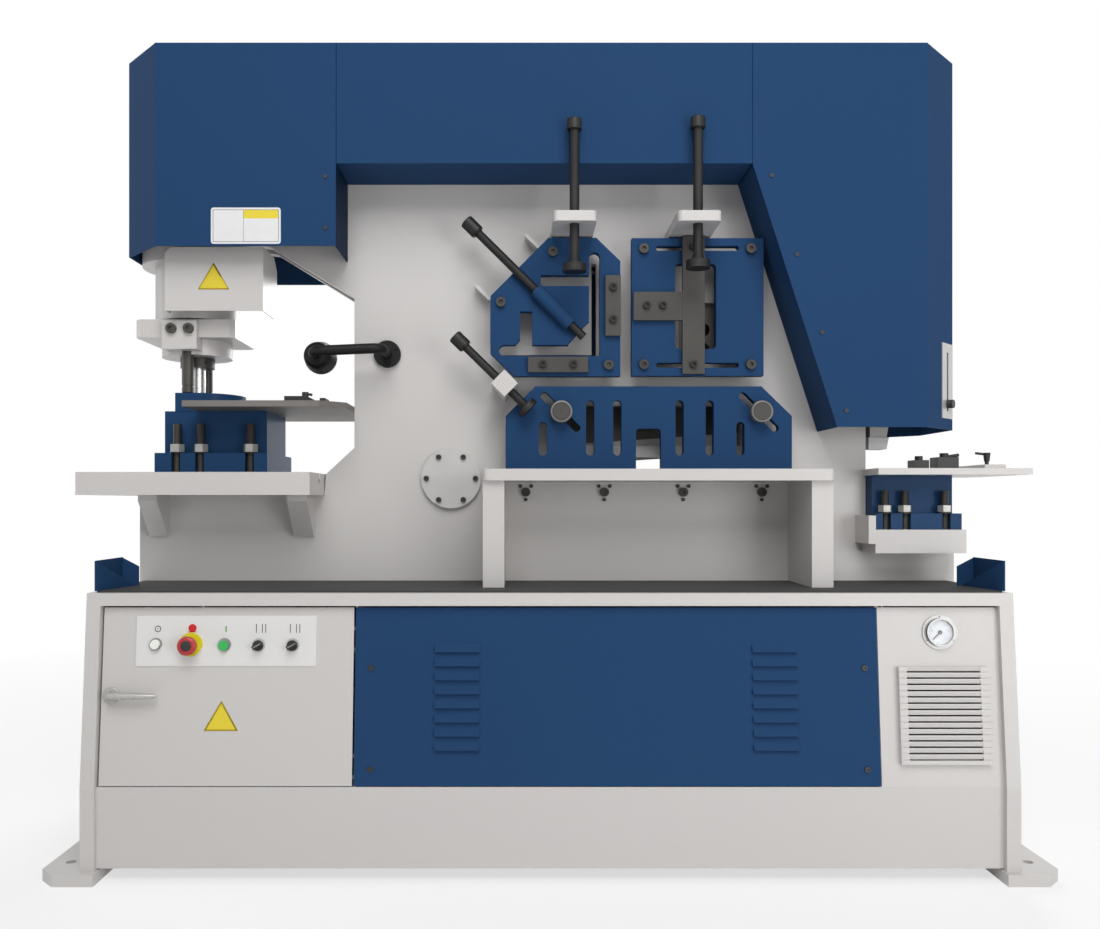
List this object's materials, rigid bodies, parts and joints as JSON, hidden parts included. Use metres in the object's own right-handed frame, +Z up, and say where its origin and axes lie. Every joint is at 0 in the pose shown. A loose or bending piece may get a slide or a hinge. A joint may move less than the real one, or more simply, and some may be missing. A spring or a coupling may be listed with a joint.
{
  "type": "hydraulic ironworker",
  "caption": "Free-standing hydraulic ironworker: punch station, angle, bar and flat shears and a notcher on a plate frame over a cabinet base.",
  "frame": {"origin": "on the floor, at the centre of the four anchor holes", "axes": "+X along the machine towards the notcher, +Y to the rear, +Z up"},
  "size_m": [2.2055, 0.802, 1.85],
  "materials": {
    "white_paint": "satin powder coat",
    "blue_paint": "satin powder coat",
    "black_oxide": "black oxide, dull",
    "tool_steel": "ground, dull",
    "cylinder_steel": "turned",
    "ground_rod": "hard chrome",
    "rubber_mat": "matt",
    "black_plastic": "matt",
    "lens": "clear",
    "panel_grey": "satin",
    "red_plastic": "gloss",
    "green_plastic": "gloss",
    "lamp_black": "satin",
    "panel_gear": "satin",
    "power_grey": "satin"
  },
  "bodies": {
    "frame": {"base_cabinet": "white_paint", "worktop_mat": "rubber_mat", "front_panel": "blue_paint", "rear_panel": "white_paint", "vent_grille": "white_paint", "gauge_body": "panel_grey", "gauge_lens": "lens", "scrap_boxes": "blue_paint", "front_frame_plate": "white_paint", "rear_frame_plate": "white_paint", "frame_packers": "tool_steel", "left_cover": "blue_paint", "middle_cover": "blue_paint", "right_cover": "blue_paint", "rear_cover": "blue_paint", "fasteners": "black_oxide", "punch_cylinder": "white_paint", "punch_guard": "white_paint", "punch_table": "white_paint", "die_block": "blue_paint", "die_table": "tool_steel", "pivot_pins": "panel_grey", "fixed_blades": "tool_steel", "shelf": "white_paint", "angle_plate": "blue_paint", "bar_plate": "blue_paint", "station_supports": "white_paint", "guide_bars": "tool_steel", "notch_support": "white_paint", "notch_die": "blue_paint", "notch_table": "white_paint", "table_stops": "black_oxide", "stroke_plate": "panel_grey", "lamp_arm": "lamp_black", "electrical_panel": "panel_gear", "power_unit": "power_grey"},
    "punch_head": {"punch_ram": "ground_rod", "tool_plate": "white_paint", "punch_holder": "black_oxide", "punch": "tool_steel"},
    "beam": {"shear_beam": "black_oxide", "beam_tools": "tool_steel"},
    "barrel": {"shear_cylinder": "cylinder_steel"},
    "rod": {"shear_rod": "ground_rod"},
    "needle": {"gauge_needle": "black_plastic"},
    "bar_guide": {"bar_guide": "tool_steel"},
    "angle_screw": {"angle_screw": "black_oxide"},
    "bar_screw": {"bar_screw": "black_oxide"},
    "diagonal_screw": {"diagonal_screw": "black_oxide"},
    "corner_screw": {"corner_screw": "black_oxide"},
    "flat_guard": {"flat_guard": "blue_paint"},
    "stroke_knob": {"stroke_knob": "black_plastic"},
    "door": {"door": "white_paint", "control_plate": "panel_grey"},
    "door_handle": {"door_handle": "panel_grey"},
    "estop": {"estop_button": "red_plastic"},
    "start": {"start_button": "green_plastic"},
    "selector_left": {"selector_left": "black_plastic"},
    "selector_right": {"selector_right": "black_plastic"},
    "lamp_head": {"lamp_head": "lamp_black"}
  },
  "joints": [
    {"name": "punch_stroke", "type": "slide", "parent": "frame", "child": "punch_head", "axis": [0, 0, -1], "range_m": [0, 0.066]},
    {"name": "beam_swing", "type": "hinge", "parent": "frame", "child": "beam", "pos_m": [-0.231, 0, 0.86], "axis": [0, 1, 0], "range_deg": [0, 4]},
    {"name": "cylinder_swing", "type": "hinge", "parent": "frame", "child": "barrel", "pos_m": [0.87, 0, 1.64], "axis": [0, -1, 0], "range_deg": [0, 1.3]},
    {"name": "cylinder_rod", "type": "slide", "parent": "barrel", "child": "rod", "axis": [0, 0, -1], "range_m": [0, 0.079]},
    {"name": "gauge_reading", "type": "hinge", "parent": "frame", "child": "needle", "pos_m": [0.834, -0.34863, 0.52452], "axis": [0, 0.9962, -0.0872], "range_deg": [0, 270]},
    {"name": "bar_guide_slide", "type": "slide", "parent": "frame", "child": "bar_guide", "axis": [1, 0, 0], "range_m": [0, 0.09]},
    {"name": "angle_hold_down", "type": "slide", "parent": "frame", "child": "angle_screw", "axis": [0, 0, -1], "range_m": [-0.07, 0.12]},
    {"name": "bar_hold_down", "type": "slide", "parent": "frame", "child": "bar_screw", "axis": [0, 0, -1], "range_m": [-0.07, 0.12]},
    {"name": "section_hold_down", "type": "slide", "parent": "frame", "child": "diagonal_screw", "axis": [0.7114, 0, -0.7028], "range_m": [-0.05, 0.045]},
    {"name": "corner_hold_down", "type": "slide", "parent": "frame", "child": "corner_screw", "axis": [0.7132, 0, -0.7009], "range_m": [-0.04, 0.02]},
    {"name": "guard_lift", "type": "slide", "parent": "frame", "child": "flat_guard", "axis": [-0.7071, 0, 0.7071], "range_m": [0, 0.028]},
    {"name": "stroke_setting", "type": "slide", "parent": "frame", "child": "stroke_knob", "axis": [0, 0, 1], "range_m": [-0.01, 0.115]},
    {"name": "door_swing", "type": "hinge", "parent": "frame", "child": "door", "pos_m": [-0.426, -0.34977, 0.37381], "axis": [0, 0.0872, 0.9962], "range_deg": [0, 95]},
    {"name": "door_latch", "type": "hinge", "parent": "door", "child": "door_handle", "pos_m": [-0.934, -0.37421, 0.39274], "axis": [0, 0.9962, -0.0872], "range_deg": [0, 45]},
    {"name": "estop_press", "type": "slide", "parent": "door", "child": "estop", "axis": [0, 0.9962, -0.0872], "range_m": [0, 0.005], "stiffness_N_per_m": 1500},
    {"name": "start_press", "type": "slide", "parent": "door", "child": "start", "axis": [0, 0.9962, -0.0872], "range_m": [0, 0.003], "stiffness_N_per_m": 900},
    {"name": "left_selector_turn", "type": "hinge", "parent": "door", "child": "selector_left", "pos_m": [-0.623, -0.36104, 0.49739], "axis": [0, 0.9962, -0.0872], "range_deg": [-45, 45]},
    {"name": "right_selector_turn", "type": "hinge", "parent": "door", "child": "selector_right", "pos_m": [-0.55, -0.36104, 0.49739], "axis": [0, 0.9962, -0.0872], "range_deg": [-45, 45]},
    {"name": "lamp_swivel", "type": "hinge", "parent": "frame", "child": "lamp_head", "pos_m": [-0.55084, -0.112, 1.1548], "axis": [-0.0436, 0, 0.999], "range_deg": [-25, 25]}
  ],
  "couplings": [
    {"joint": "cylinder_swing", "follows": "beam_swing", "ratio": 0.322},
    {"joint": "cylinder_rod", "follows": "beam_swing", "m_per_rad": 1.108}
  ]
}
